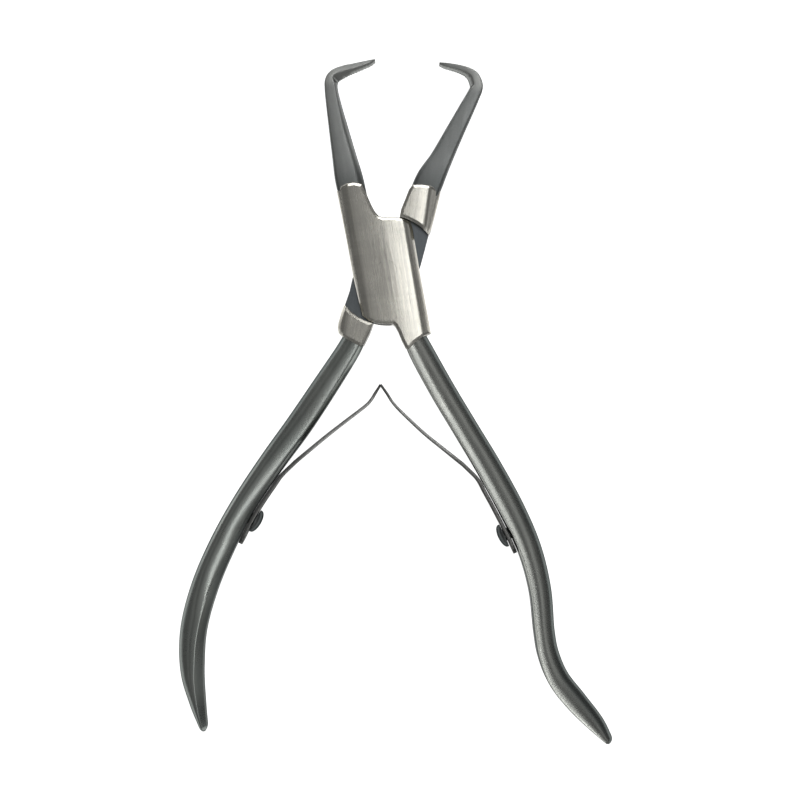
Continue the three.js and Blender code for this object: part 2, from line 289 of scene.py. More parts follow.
class Wire:
    # a node's output that can be used in arithmetic
    def __init__(self, graph, node, socket):
        self.graph = graph
        self.node = node
        self.socket = socket

    def out(self, name):
        return Wire(self.graph, self.node, self.node.outputs[name])

    def __add__(self, other):
        return self.graph.maths("ADD", self, other)

    def __radd__(self, other):
        return self.graph.maths("ADD", other, self)

    def __sub__(self, other):
        return self.graph.maths("SUBTRACT", self, other)

    def __rsub__(self, other):
        return self.graph.maths("SUBTRACT", other, self)

    def __mul__(self, other):
        return self.graph.maths("MULTIPLY", self, other)

    def __rmul__(self, other):
        return self.graph.maths("MULTIPLY", other, self)


class Graph:
    def __init__(self, name):
        self.material = bpy.data.materials.new(name)
        self.material.use_nodes = True
        self.tree = self.material.node_tree
        self.tree.nodes.clear()

    def add(self, kind, settings, sockets, output=0):
        node = self.tree.nodes.new(kind)
        for key, value in settings.items():
            setattr(node, key, value)
        for key, value in sockets.items():
            if isinstance(value, Wire):
                self.tree.links.new(value.socket, node.inputs[key])
            else:
                node.inputs[key].default_value = value
        return Wire(self, node, node.outputs[output] if node.outputs else None)

    def maths(self, operation, first, second):
        return self.add("ShaderNodeMath", {"operation": operation}, {0: first, 1: second})

    def mix(self, share, first, second):
        return self.add("ShaderNodeMix", {"data_type": "RGBA"}, {0: share, 6: first, 7: second}, 2)

    def turnedPlace(self, degrees):
        # object coordinates in a lever's own frame
        place = self.add("ShaderNodeTexCoord", {}, {}).out("Object")
        return self.add("ShaderNodeMapping", {}, {"Vector": place, "Rotation": (0, 0, math.radians(-degrees))})

    def noise(self, place, stretch, detail, roughness=0.5):
        spread = self.add("ShaderNodeMapping", {}, {"Vector": place, "Scale": stretch})
        sockets = {"Vector": spread, "Scale": 1, "Detail": detail, "Roughness": roughness}
        return self.add("ShaderNodeTexNoise", {}, sockets)

    def contrast(self, wire, low, high):
        sockets = {"Value": wire, "From Min": low, "From Max": high}
        return self.add("ShaderNodeMapRange", {"interpolation_type": "SMOOTHSTEP"}, sockets)

    def bump(self, height, strength, distance):
        sockets = {"Height": height, "Strength": strength, "Distance": distance * mm}
        return self.add("ShaderNodeBump", {}, sockets)

    def surface(self, sockets):
        shader = self.add("ShaderNodeBsdfPrincipled", {}, sockets)
        self.add("ShaderNodeOutputMaterial", {}, {"Surface": shader})
        return self.material


def rgb(red, green, blue):
    return (red, green, blue, 1)


steelTint = rgb(0.25, 0.25, 0.25)
blendLength = 3                  # mm over which one tone passes into another along a piece


def brushedSteel(name, degrees, look):
    # ground along the lever: broad streaks, fine scratches between them, a few deeper ones, and faint marks across;
    # a leaf is darker at its tip and where it is clamped
    g = Graph(name)
    place = g.turnedPlace(degrees)
    broad = g.noise(place, (1000, 11, 1000), 3, 0.6)
    fine = g.noise(place, (7500, 70, 7500), 4, 0.65)
    haze = g.noise(place, (190, 150, 190), 4)
    cross = g.noise(place, (90, 2200, 90), 3)
    deep = g.contrast(g.noise(place, (2600, 60, 2600), 1), 0.7, 0.78)
    tone = g.contrast(broad * 0.5 + fine * 0.22 + haze * 0.12 + cross * 0.16, 0.3, 0.7)
    colour = g.mix(tone, look["dark"], look["light"])
    colour = g.mix(deep * 0.2, colour, look["scratch"])
    if "tipFrom" in look:
        along = g.add("ShaderNodeSeparateXYZ", {}, {"Vector": place}).out("Y")
        tip = g.contrast(along, look["tipFrom"] * mm, (look["tipFrom"] + blendLength) * mm)
        colour = g.mix(tip, colour, look["scratch"])
        foot = 1 - g.contrast(along, look["footFrom"] * mm, look["footTo"] * mm)
        colour = g.mix(foot * look["footShare"], colour, look["scratch"])
    rough = look["rough"] + (fine - 0.5) * 0.22 + (haze - 0.5) * 0.16 + deep * 0.1
    height = fine + broad * 0.5 + cross * 0.25 - deep * 0.8
    return g.surface({
        "Base Color": colour, "Metallic": 1.0, "Roughness": rough, "Specular Tint": steelTint,
        "Normal": g.bump(height, look["bump"], 0.02),
    })


def satinSteel(name, degrees, look):
    # bead-blasted and darkened: fine grain, cloudy tone, rubbed paler in patches, painted shade low on the sides;
    # a jaw has painted shade at its foot, where it meets the pad, and is paler at its hook
    g = Graph(name)
    place = g.turnedPlace(degrees)
    grain = g.noise(place, (3600, 3600, 3600), 3, 0.6)
    cloud = g.noise(place, (110, 60, 110), 4)
    drawn = g.noise(place, (1500, 90, 1500), 3)
    rubbed = g.contrast(g.noise(place, (330, 120, 330), 4), 0.5, 0.75)
    tone = g.contrast(grain * 0.3 + cloud * 0.5 + drawn * 0.2, 0.3, 0.7)
    colour = g.mix(tone, look["dark"], look["light"])
    colour = g.mix(rubbed * look["rub"], colour, look["worn"])
    split = g.add("ShaderNodeSeparateXYZ", {}, {"Vector": place})
    along, height = split.out("Y"), split.out("Z")
    # painted shade at the jaw's foot, where it meets the pad; paler towards the hook
    if "rootEnd" in look:
        root = g.contrast(along, look["rootEnd"] * mm, joint["padEnd"] * mm)
        colour = g.mix(root * look["rootShare"], colour, look["root"])
        tip = g.contrast(along, look["tipFrom"] * mm, (look["tipFrom"] + blendLength) * mm)
        colour = g.mix(tip, colour, look["worn"])
    # painted shade low on the sides, strongest about the middle height; on the tongue handle it is halved towards the
    # handle's end
    if "sideShadeShare" in look:
        fromMiddle = g.maths("ABSOLUTE", height - joint["middle"] * mm, 0)
        side = 1 - g.contrast(fromMiddle, look["sideShadeLow"] * mm, look["sideShadeHigh"] * mm)
        if "sideShadeFade" in look:
            fadeEnd, fadeStart = look["sideShadeFadeSpan"]
            side = side * (1 - look["sideShadeFade"] * (1 - g.contrast(along, fadeEnd * mm, fadeStart * mm)))
        colour = g.mix(side * look["sideShadeShare"], colour, look["root"])
    rough = look["rough"] + (grain - 0.5) * 0.07 + (cloud - 0.5) * 0.1 - rubbed * 0.04
    return g.surface({
        "Base Color": colour, "Metallic": 1.0, "Roughness": rough, "Specular Tint": steelTint,
        "Normal": g.bump(grain + drawn * 0.3, look["bump"], 0.03),
    })


padLook = {
    "dark": rgb(0.54, 0.526, 0.485), "light": rgb(0.765, 0.745, 0.665), "scratch": rgb(0.3, 0.295, 0.28),
    "rough": 0.25, "bump": 0.09,
}
# the darkest colour here is painted shade, laid at the jaw's foot by the pad and low on its sides
jawLook = {
    "dark": rgb(0.25, 0.26, 0.255), "light": rgb(0.34, 0.35, 0.342), "worn": rgb(0.5, 0.51, 0.49),
    "root": rgb(0.11, 0.12, 0.12), "rub": 0.2, "rough": 0.38, "bump": 0.06,
    "rootEnd": 28, "rootShare": 0.6, "tipFrom": 44, "sideShadeLow": 1.2, "sideShadeHigh": 2, "sideShadeShare": 0.4,
}
# the tongue lever's jaw: a darker copy of the same steel, painted shade for that jaw
shadedTongueJawLook = {
    **jawLook, "dark": rgb(0.19, 0.2, 0.197), "light": rgb(0.26, 0.27, 0.265), "worn": rgb(0.5, 0.51, 0.49),
}
# the darkest colour here is painted shade, laid low on the handle's sides
handleLook = {
    "dark": rgb(0.375, 0.39, 0.366), "light": rgb(0.485, 0.495, 0.462), "worn": rgb(0.56, 0.56, 0.52),
    "root": rgb(0.115, 0.13, 0.127), "rub": 0.15, "rough": 0.27, "bump": 0.012,
    "sideShadeLow": 1.9, "sideShadeHigh": 2.95, "sideShadeShare": 0.9,
}
# the tongue lever's handle: a darker copy of the same steel, painted shade for that handle
shadedTongueHandleLook = {
    **handleLook, "dark": rgb(0.305, 0.33, 0.312), "light": rgb(0.4, 0.42, 0.395), "worn": rgb(0.46, 0.465, 0.43),
    "rough": 0.29, "sideShadeFade": 0.5, "sideShadeFadeSpan": (-85, -68),
}
tongueLook = {
    "dark": rgb(0.13, 0.145, 0.153), "light": rgb(0.19, 0.205, 0.216), "worn": rgb(0.27, 0.287, 0.295),
    "rub": 0.3, "rough": 0.36, "bump": 0.12,
}
leafLook = {
    "dark": rgb(0.24, 0.245, 0.24), "light": rgb(0.4, 0.4, 0.385), "scratch": rgb(0.12, 0.12, 0.115),
    "rough": 0.32, "bump": 0.12, "tipFrom": -31, "footFrom": -47, "footTo": -43, "footShare": 0.8,
}
# the darkest colour here is painted shade, laid over the screw about its middle height
screwLook = {
    "dark": rgb(0.08, 0.086, 0.086), "light": rgb(0.14, 0.146, 0.143), "worn": rgb(0.26, 0.26, 0.25),
    "root": rgb(0.085, 0.095, 0.095), "rub": 0.4, "rough": 0.38, "bump": 0.1,
    "sideShadeLow": 1.6, "sideShadeHigh": 3, "sideShadeShare": 0.8,
}


def painted(piece, material):
    piece.data.materials.clear()
    piece.data.materials.append(material)
    for face in piece.data.polygons:
        face.material_index = 0
    return piece


# Jaws and handles: bars along a course, with a ridge near the inner edge of each broad face

def barRings(stations, shares, inner, section):
    # inner: 1 where the bar's inner side is on the left of its course, otherwise -1
    rings = []
    for share in shares:
        (x, y), (width, depth), (leftX, leftY) = courseAt(stations, share)
        half = section(share)
        points = half + [(across, -up) for across, up in reversed(half[1:-1])]
        ring = []
        for across, up in points:
            reach = -inner * across * width / 2
            ring.append((x + leftX * reach, y + leftY * reach, joint["middle"] + up * depth / 2))
        rings.append(ring)
    return rings


handle = {
    "width": 6, "depth": 7.2, "endDepth": 5, "rings": 110,
    # across the dome: (share from the ridge to the outer edge, how high); flat by the ridge, or crowned beyond it
    "flat": [
        (0.01, 0.997), (0.03, 1), (0.1, 0.998), (0.2, 0.99), (0.28, 0.978), (0.35, 0.956), (0.43, 0.918), (0.52, 0.865),
        (0.62, 0.797), (0.72, 0.71), (0.82, 0.6), (0.9, 0.485), (0.955, 0.375), (0.985, 0.27), (1, 0.12), (1, 0),
    ],
    "crowned": [
        (0.02, 0.8), (0.1, 0.85), (0.18, 0.893), (0.26, 0.93), (0.34, 0.961), (0.42, 0.984), (0.5, 0.998), (0.56, 1),
        (0.62, 0.99), (0.7, 0.95), (0.78, 0.885), (0.85, 0.8), (0.92, 0.67), (0.965, 0.52), (0.99, 0.3), (1, 0),
    ],
    "endRound": 0.018,           # share of the course over which the end is rounded off
    "endRings": 5, "endLeast": 0.15,
}
boxHandle = {
    "length": 97.2, "inner": -1, "crown": [(0, 0), (1, 0)],
    "stations": [
        (-0.055, 3.6, 0.85), (0, 5.2, 0.97), (0.1, 8.8, 1), (0.2, 12.8, 1), (0.3, 16.8, 1.02), (0.41, 20.7, 1.02),
        (0.51, 23.4, 0.94), (0.61, 24.4, 0.87), (0.71, 23.9, 0.82), (0.77, 24.1, 0.84), (0.83, 25.6, 0.87),
        (0.89, 28.9, 0.86), (0.95, 32.7, 0.68), (1, 35.4, 0.3),
    ],
    "ridge": [(0, 0.09), (0.12, 0.03), (0.25, 0.035), (0.35, 0.03), (0.42, 0.06), (0.55, 0.06), (0.63, 0.08),
              (0.7, 0.06), (0.78, 0.04), (1, 0.06)],
}
tongueHandle = {
    "length": 93.2, "inner": 1, "crown": [(0, 0.3), (0.24, 0.38), (0.5, 1), (0.6, 0.8), (0.7, 0), (1, 0)],
    "stations": [
        (-0.055, -4.6, 0.85), (0, -6.4, 0.92), (0.1, -10.6, 1), (0.2, -15, 1.03), (0.31, -20.3, 1), (0.42, -25.1, 0.97),
        (0.53, -28.7, 1.03), (0.64, -31.3, 1.05), (0.75, -32.4, 1.02), (0.85, -31.3, 0.92), (0.93, -28.9, 0.62),
        (1, -26.2, 0.25),
    ],
    "ridge": [(0, 0.14), (0.36, 0.12), (0.54, 0.13), (0.6, 0.2), (0.64, 0.26), (0.73, 0.28), (0.8, 0.33), (0.88, 0.42),
              (1, 0.5)],
}


def handleStations(which):
    stations = []
    for share, x, width in which["stations"]:
        depth = between(handle["depth"], handle["endDepth"], max(share, 0) ** 3)
        stations.append((x, -joint["padEnd"] - share * which["length"], width * handle["width"], depth))
    return stations


def handleBar(name, which):
    stations = handleStations(which)
    shares = [i / handle["rings"] for i in range(handle["rings"])]
    rounding, ends = handle["endRound"], handle["endRings"]
    shares = [s for s in shares if s < 1 - rounding] + [1 - rounding * (1 - i / ends) for i in range(ends + 1)]

    def section(share):
        inset = readOff(which["ridge"], share)
        ridge = -1 + 2 * inset
        wall = between(0.6, 0.5, eased((inset - 0.1) / 0.3))
        points = [(-1, 0), (-1, wall * 0.6), (-1, wall - 0.05), (-0.985, wall + 0.02)]
        crown = readOff(which["crown"], share)
        ridgeUp = between(handle["flat"][0][1], handle["crowned"][0][1], crown)
        points += [(ridge - 0.02, ridgeUp - 0.07), (ridge, ridgeUp - 0.02)]
        for (t, up), (crownedT, crownedUp) in zip(handle["flat"], handle["crowned"]):
            points.append((between(ridge, 1, between(t, crownedT, crown)), between(up, crownedUp, crown)))
        end = max(0, (share - 1 + rounding) / rounding)
        shrink = max(math.sqrt(1 - end * end), handle["endLeast"])
        return [(across * shrink, up * shrink) for across, up in points]

    return drawnOut(name, barRings(stations, shares, which["inner"], section))


jaw = {
    "length": 26, "rootDepth": 6.8, "bendDepth": 3.6, "tipDepth": 1.8, "tipLine": 4.75, "tipTrim": 0.6,
    "tipGap": 0.16, "armRings": 40, "hookRings": 84, "teethPitch": 0.62, "teethDepth": 0.11,
    "tipStart": 0.925, "tipEnd": 0.984, "tipLeast": 0.42,
    "hookCourse": 11.5,          # the hook's length along its course, for the pitch of the teeth
    # across the top from the ridge to the outer edge: (share, how high)
    "crown": [
        (0.3, 0.932), (0.6, 0.932), (0.84, 0.929), (0.92, 0.914), (0.96, 0.88), (0.983, 0.81), (0.996, 0.68),
        (1, 0.45), (1, 0),
    ],
}
boxJaw = {
    "inner": -1, "side": 1,
    "arm": [
        (-0.2, -4.9, 6.2), (0.08, -5.5, 6.6), (0.3, -5.85, 5.7), (0.55, -6.2, 4.6), (0.78, -6.5, 3.6),
        (0.92, -6.55, 3.1), (1, -6.25, 3),
    ],
    "hook": [(0.1, 1.2, 2.9), (0.3, 1.9, 2.6), (0.5, 2.3, 2.1), (0.74, 2.75, 1.6), (1, 3.25, 1)],
    "ridge": [(0, 0.18), (0.18, 0.18), (0.27, 0.22), (0.36, 0.16), (0.45, 0.12), (0.53, 0.2), (0.62, 0.54), (0.7, 0.5),
              (0.82, 0.4), (1, 0.44)],
}
tongueJaw = {
    "inner": 1, "side": -1,
    "arm": [
        (-0.2, 4.9, 6.2), (0.08, 6.6, 6.6), (0.3, 8.6, 5.2), (0.55, 10.7, 4.3), (0.78, 12.7, 3.6),
        (0.92, 13.9, 3.1), (1, 14.3, 3),
    ],
    "hook": [(0.1, 2, 2.7), (0.25, 3, 2.1), (0.45, 3.5, 1.7), (0.7, 3.75, 1.4), (1, 3.85, 1)],
    "ridge": [(0, 0.07), (0.4, 0.07), (0.5, 0.12), (0.58, 0.26), (0.66, 0.34), (0.8, 0.33), (1, 0.34)],
}


def jawStations(which):
    stations = []
    for share, x, width in which["arm"]:
        depth = between(jaw["rootDepth"], jaw["bendDepth"], max(share, 0))
        stations.append((x, joint["padEnd"] + share * jaw["length"], width, depth))
    bendX, bendY = stations[-1][:2]
    reach = jaw["tipLine"] + which["side"] * jaw["tipTrim"] - bendX
    for share, rise, width in which["hook"]:
        depth = between(jaw["bendDepth"], jaw["tipDepth"], share)
        stations.append((bendX + share * reach, bendY + rise, width, depth))
    return stations


def jawBar(name, which):
    stations = jawStations(which)
    bend = (len(which["arm"]) - 1) / (len(stations) - 1)
    shares = [bend * i / jaw["armRings"] for i in range(jaw["armRings"])]
    shares += [between(bend, 1, i / jaw["hookRings"]) for i in range(jaw["hookRings"] + 1)]
    teethStep = (1 - bend) * jaw["teethPitch"] / jaw["hookCourse"]

    def section(share):
        inset = readOff(which["ridge"], share)
        ridge = -1 + 2 * inset
        onHook = eased((share - bend - 0.12) / 0.08)
        wall = between(0.6, 0.22, eased((inset - 0.15) / 0.35))
        tooth = (share / teethStep) % 1
        bite = onHook * jaw["teethDepth"] * (1 if tooth < 0.5 else 0)
        points = [(-1 + bite, 0), (-1 + bite, wall * 0.6), (-1 + bite, wall - 0.04), (-0.975 + bite, wall + 0.03)]
        points += [(ridge - 0.03, 0.865), (ridge + 0.03, 0.905), (between(ridge, 1, 0.12), 0.92)]
        points += [(between(ridge, 1, t), up) for t, up in jaw["crown"]]
        near = min(max((share - jaw["tipStart"]) / (jaw["tipEnd"] - jaw["tipStart"]), 0), 1)
        least = jaw["tipLeast"]
        shrink = least + (1 - least) * math.sqrt(1 - near * near)
        return [(1 - (1 - across) * shrink, up * shrink) for across, up in points]

    bar = drawnOut(name, barRings(stations, shares, which["inner"], section))
    face = jaw["tipLine"] - which["side"] * jaw["tipGap"] / 2
    pick(bar)                                # the tip is cut off square, just short of the other lever's
    hookStart = (joint["padEnd"] + jaw["length"]) * mm
    selectWhere(bar, "faces", lambda f: min(bar.data.vertices[i].co.y for i in f.vertices) > hookStart)
    bpy.ops.mesh.bisect(
        plane_co=(face * mm, 0, 0), plane_no=(which["side"], 0, 0), use_fill=True, clear_outer=True,
        threshold=1e-7,
    )
    bpy.ops.object.mode_set(mode="OBJECT")
    return bar


# The joint's blocks

blocks = {
    "rim": [(0, 0.36), (0.18, 0.22), (0.7, 0)],     # (distance in from the outline, how far the edge is broken)
    "boxProfile": [
        (-9.6, 6.35), (-8.6, 6.78), (-7.9, 7.08), (-7.3, 7.34), (-7.05, 7.44), (-6.8, 7.51), (-6.5, 7.59),
        (-6.1, 7.695), (-5.8, 7.77), (-5.5, 7.825), (-5.2, 7.865), (-4.6, 7.915), (-3.4, 7.965), (-2, 7.99),
        (-0.6, 8), (0.6, 7.985), (1.8, 7.945), (3, 7.88), (4.2, 7.8), (5.1, 7.735), (5.5, 7.705), (5.75, 7.66),
        (5.95, 7.56), (6.25, 7.38), (6.9, 7.06), (7.6, 6.74), (8.6, 6.3),
    ],
    "upperProfile": [
        (-1, 8), (1.2, 8), (2.6, 7.98), (4, 7.945), (5.2, 7.9), (6.4, 7.84), (7.1, 7.795), (7.4, 7.74), (7.65, 7.665),
        (7.95, 7.58), (8.4, 7.36), (9, 7.08), (9.6, 6.82), (10.6, 6.4),
    ],
    "lowerProfile": [
        (-10.6, 6.5), (-9.9, 6.82), (-9.3, 7.1), (-8.8, 7.34), (-8.45, 7.54), (-8.15, 7.72), (-7.9, 7.83), (-7.5, 7.9),
        (-6.4, 7.935), (-5, 7.965), (-3.6, 7.985), (-2.2, 8), (-1, 8), (0, 7.99),
    ],
}


def boxPadOutline():
    plate, end = joint["plateRadius"], joint["padEnd"]
    return [
        (1, 12.2), (2.6, 12.1), *arc(plate, 67, 55.5, 4), (7.4, 9), (7.5, 0), (7.9, -12), (8, -16), (6, -16.6),
        (4, -17.6), (2.3, -19), (1.6, -18.4), (1, -16.5), (0.5, -14.5), (0, -13.1), *arc(plate, -92, -114, 6),
        (-6, -10.9), (-7.2, -9.6), (-7.6, -5), (-8, 0), (-8.3, 9), (-8.8, end), (-7.6, 20.9), (-6.2, 21.3),
        (-4.5, 21.3), (-2.7, 20.6), (-2.1, 18.5), (-1.3, 15.4), (-0.7, 13.8), (0, 12.7),
    ]


def upperShoulderOutline():
    return [
        *arc(joint["shoulderRadius"], 49.3, 85, 8), (1.2, 14.5), (1.8, 17), (2.3, 19.2), (3, 20.5), (5, 20.9),
        (7, 20.9), (9, 20.5), (9.7, joint["padEnd"]), (9.2, 14.5), (8.8, 11),
    ]


def lowerShoulderOutline():
    return [
        *arc(joint["shoulderRadius"], -132.5, -96, 8), (-1.8, -15), (-2.7, -17.9), (-3.6, -18.4), (-5.5, -17.7),
        (-7.5, -17), (-8.9, -16.2), (-9.4, -15), (-9.4, -13.8), (-9, -11),
    ]


def tongueOutline(runIn):
    def end(start, stop):
        corner = joint["shoulderRadius"]
        ends = [turned((corner, 0), start), turned((corner, 0), stop)]
        rooted = arc(corner + runIn, start + joint["rootInset"], stop - joint["rootInset"], 8)
        return [ends[0], *rooted, ends[1]]

    return [
        *end(-132, -96), (2.2, -9), (5, -5), (6.9, -1), (7.6, 2.5), (8, 6),
        *end(49, 84), (-2.2, 8.6), (-5, 4.4), (-6.9, 0.5), (-7.7, -3), (-7.9, -6),
    ]


def slotCutters(material):
    # the room the tongue sweeps through in the box, from past closed to past open
    clear = []
    for x, y in tongueOutline(joint["tongueSideGap"]):
        grow = 1 + joint["tongueSideGap"] / math.hypot(x, y)
        clear.append((x * grow, y * grow))
    half = joint["tongueThickness"] / 2 + joint["tongueFaceGap"]
    swing = 2 * joint["halfOpen"] + 2 * joint["overSwing"]
    steps = joint["sweepSteps"]
    cutters = []
    for i in range(steps + 1):
        outline = [turned(point, joint["overSwing"] - swing * i / steps) for point in clear]
        cutter = prism("slotCut", outline, joint["middle"] - half, joint["middle"] + half)
        cutters.append(painted(cutter, material))
    return cutters


def rod(name, radius, low, high, count=64):
    return prism(name, arc(radius, 0, 360 * (1 - 1 / count), count - 1), low, high)


# The springs' places on the handles, y along each handle, as in the part

spring = {
    "thickness": 0.9, "tipThickness": 0.58, "width": 4.6, "tipWidth": 3.8, "seatGap": 0.2, "flexGap": 0.3,
    "peak": (-1.5, -26.6), "forkWidth": 2, "forkDepth": 3, "tabClearance": 0.3, "tabLength": 2, "tabOverrun": 0.4,
    "headRadius": 2.8, "headHeight": 1.5, "shankRadius": 1.4, "holeClearance": 0.1, "shankDepth": 3,
    "edgeRound": 0.07, "bendLength": 2.5, "footRings": 32, "bladeRings": 60, "footRound": 2.3, "cutHalf": 2,
    "cutPast": 1, "cutHigh": 4, "holeDeeper": 0.3, "holeTop": 2.9,
}
screwTurning = {
    "rim": 0.3,                  # straight side below the dome
    "shankEdge": 0.25, "neck": 0.02, "headEdge": 0.08, "domeSteps": 12, "domeIn": 0.995, "crown": 0.12,
    "around": 64, "slotHalf": 0.4, "slotReach": 3.2, "slotDepth": 0.55, "slotOver": 1,
}
boxSpring = {
    "handle": boxHandle, "leafEnd": -69.2, "screw": -64.2, "leave": -50, "flex": -45.7, "lift": 1.2,
    "bow": [(0.21, 0.55), (0.44, 1.1), (0.71, 1.2), (0.82, 1), (0.91, 0.45)], "ownAngle": 8.6,
}
tongueSpring = {
    "handle": tongueHandle, "leafEnd": -67.2, "screw": -61, "leave": -49.5, "flex": -45.2, "lift": 0.8,
    "bow": [(0.33, 0.4), (0.56, 0.85), (0.77, 1.3), (0.85, 1.15), (0.92, 0.6)], "ownAngle": -8.6,
}


def offFace(which, y, distance):
    stations = handleStations(which["handle"])
    (x, y), (width, _), (leftX, leftY) = courseAt(stations, shareAtY(stations, y))
    reach = which["handle"]["inner"] * (width / 2 + distance)
    return (x + leftX * reach, y + leftY * reach)


def screwFrame(which, distance):
    # the screw's place, and the direction that its head faces
    stations = handleStations(which["handle"])
    inner = which["handle"]["inner"]
    _, _, (leftX, leftY) = courseAt(stations, shareAtY(stations, which["screw"]))
    x, y = offFace(which, which["screw"], distance)
    return Vector((x, y, joint["middle"])), Vector((inner * leftX, inner * leftY, 0))


def onScrewAxis(piece, which, distance):
    # a piece drawn along +Z is laid on the screw's axis
    place, outwards = screwFrame(which, distance)
    pick(piece)
    piece.rotation_euler = Vector((0, 0, 1)).rotation_difference(outwards).to_euler()
    piece.location = place * mm
    bpy.ops.object.transform_apply(location=True, rotation=True, scale=True)
    return piece


def screwHole(which):
    radius = spring["shankRadius"] + spring["holeClearance"]
    bottom = -spring["shankDepth"] - spring["holeDeeper"]
    return onScrewAxis(rod("screwHole", radius, bottom, spring["holeTop"]), which, 0)


def towards(start, stop, distance):
    length = math.hypot(stop[0] - start[0], stop[1] - start[1])
    return tuple(a + (b - a) * distance / length for a, b in zip(start, stop))


def flexPoint(which):
    return offFace(which, which["flex"], spring["seatGap"] + spring["thickness"] / 2 + which["lift"])


def leafPath(which):
    # (x, y, thickness, width) along the whole strip, from the clamped end to the tip
    flex = flexPoint(which)
    footCount = 6
    foot = []
    for i in range(footCount + 1):
        y = between(which["leafEnd"], which["leave"], i / footCount)
        foot.append(offFace(which, y, spring["seatGap"] + spring["thickness"] / 2))
    foot.append(towards(flex, foot[-1], spring["flexGap"] / 2))
    peak = turned(spring["peak"], -which["ownAngle"])
    alongX, alongY = peak[0] - flex[0], peak[1] - flex[1]
    length = math.hypot(alongX, alongY)
    inner = which["handle"]["inner"]
    awayX, awayY = alongY / length * inner, -alongX / length * inner
    bow = [(flex[0] + alongX * s + awayX * sag, flex[1] + alongY * s + awayY * sag) for s, sag in which["bow"]]
    blade = [towards(flex, bow[0], spring["flexGap"] / 2), *bow, peak]
    path = []
    for i in range(spring["footRings"] + 1):
        x, y = smoothAt(foot, i / spring["footRings"])
        path.append((x, y, spring["thickness"], spring["width"]))
    for i in range(spring["bladeRings"] + 1):
        share = i / spring["bladeRings"]
        x, y = smoothAt(blade, share)
        thickness = between(spring["thickness"], spring["tipThickness"], share)
        path.append((x, y, thickness, between(spring["width"], spring["tipWidth"], share)))
    return path, flex


def leafStrip(name, which):
    path, flex = leafPath(which)
    rings = []
    for i, (x, y, thickness, width) in enumerate(path):
        before, after = path[max(i - 1, 0)], path[min(i + 1, len(path) - 1)]
        dx, dy = after[0] - before[0], after[1] - before[1]
        length = math.hypot(dx, dy)
        fromEnd = math.hypot(x - path[0][0], y - path[0][1])
        rounding = math.sqrt(1 - (1 - min(fromEnd / spring["footRound"], 1)) ** 2)
        tall = max(width / 2 * rounding, 0.5)
        thick, edge = thickness / 2, spring["edgeRound"]
        ring = []
        for a, up in ((1, tall - edge), (1 - edge / thick * 0.3, tall - edge * 0.3), (1 - edge / thick, tall)):
            ring.append((a, up))
        ring = ring + [(-a, up) for a, up in reversed(ring)]
        ring = ring + [(a, -up) for a, up in reversed(ring)]
        rings.append([(x - dy / length * a * thick, y + dx / length * a * thick, joint["middle"] + up)
                      for a, up in ring])
    return drawnOut(name, rings), path, flex


def endBlock(name, path, before, past, low, high):
    # a block across the end of a strip, between two heights
    tip, back = path[-1][:2], path[-3][:2]
    start = towards(tip, back, before)
    stop = towards(tip, (2 * tip[0] - back[0], 2 * tip[1] - back[1]), past)
    dx, dy = stop[0] - start[0], stop[1] - start[1]
    length = math.hypot(dx, dy)
    sideX, sideY = -dy / length * spring["cutHalf"], dx / length * spring["cutHalf"]
    outline = [(start[0] + sideX, start[1] + sideY), (start[0] - sideX, start[1] - sideY),
               (stop[0] - sideX, stop[1] - sideY), (stop[0] + sideX, stop[1] + sideY)]
    return prism(name, outline, low, high)


def springScrew(name, which, material):
    # turned head with a rounded rim and a driver slot, on a plain shank
    radius, height, rim = spring["headRadius"], spring["headHeight"], screwTurning["rim"]
    edge, bevel = screwTurning["headEdge"], screwTurning["shankEdge"]
    end = -(spring["thickness"] + 2 * spring["seatGap"] + spring["shankDepth"])
    shank = spring["shankRadius"]
    profile = [(shank - bevel, end), (shank, end + bevel), (shank, -screwTurning["neck"]), (radius - edge, 0),
               (radius, edge), (radius, rim - edge)]
    steps = screwTurning["domeSteps"]
    for i in range(steps):
        angle = math.pi / 2 * i / steps
        profile.append((radius * math.cos(angle) * screwTurning["domeIn"], rim + (height - rim) * math.sin(angle)))
    profile.append((screwTurning["crown"], height))
    count = screwTurning["around"]
    rings = []
    for r, z in profile:
        rings.append([(r * math.cos(math.tau * i / count), r * math.sin(math.tau * i / count), z)
                      for i in range(count)])
    screw = painted(drawnOut(name, rings), material)
    half, reach = screwTurning["slotHalf"], screwTurning["slotReach"]
    corners = [(-half, -reach), (half, -reach), (half, reach), (-half, reach)]
    slot = prism("driverSlot", corners, height - screwTurning["slotDepth"], height + screwTurning["slotOver"])
    joined(screw, [painted(slot, material)], "DIFFERENCE")
    # the head's slot runs along the handle
    return onScrewAxis(screw, which, spring["thickness"] + 2 * spring["seatGap"])


# The pieces

def makeBoxLever():
    turn = joint["halfOpen"]
    pad = brushedSteel("padSteelBox", turn, padLook)
    jawSteel = satinSteel("jawSteelBox", turn, jawLook)
    handleSteel = satinSteel("handleSteelBox", turn, handleLook)
    inside = satinSteel("slotSteel", turn, tongueLook)
    lever = painted(
        groundBlock("boxLeverShown", boxPadOutline(), blocks["boxProfile"], blocks["rim"], joint["grindSlope"]), pad,
    )
    bars = [painted(jawBar("boxJaw", boxJaw), jawSteel), painted(handleBar("boxHandle", boxHandle), handleSteel)]
    joined(lever, bars, "UNION")
    reach = joint["boreReach"]
    bore = painted(rod("bore", joint["boreRadius"], -reach, joint["thickness"] + reach), inside)
    joined(lever, [*slotCutters(inside), bore, painted(screwHole(boxSpring), inside)], "DIFFERENCE")
    settle(lever, turn, levelShading(lever))
    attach(lever, "box_lever_body")
    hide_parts("box_lever")
    print("box lever made")


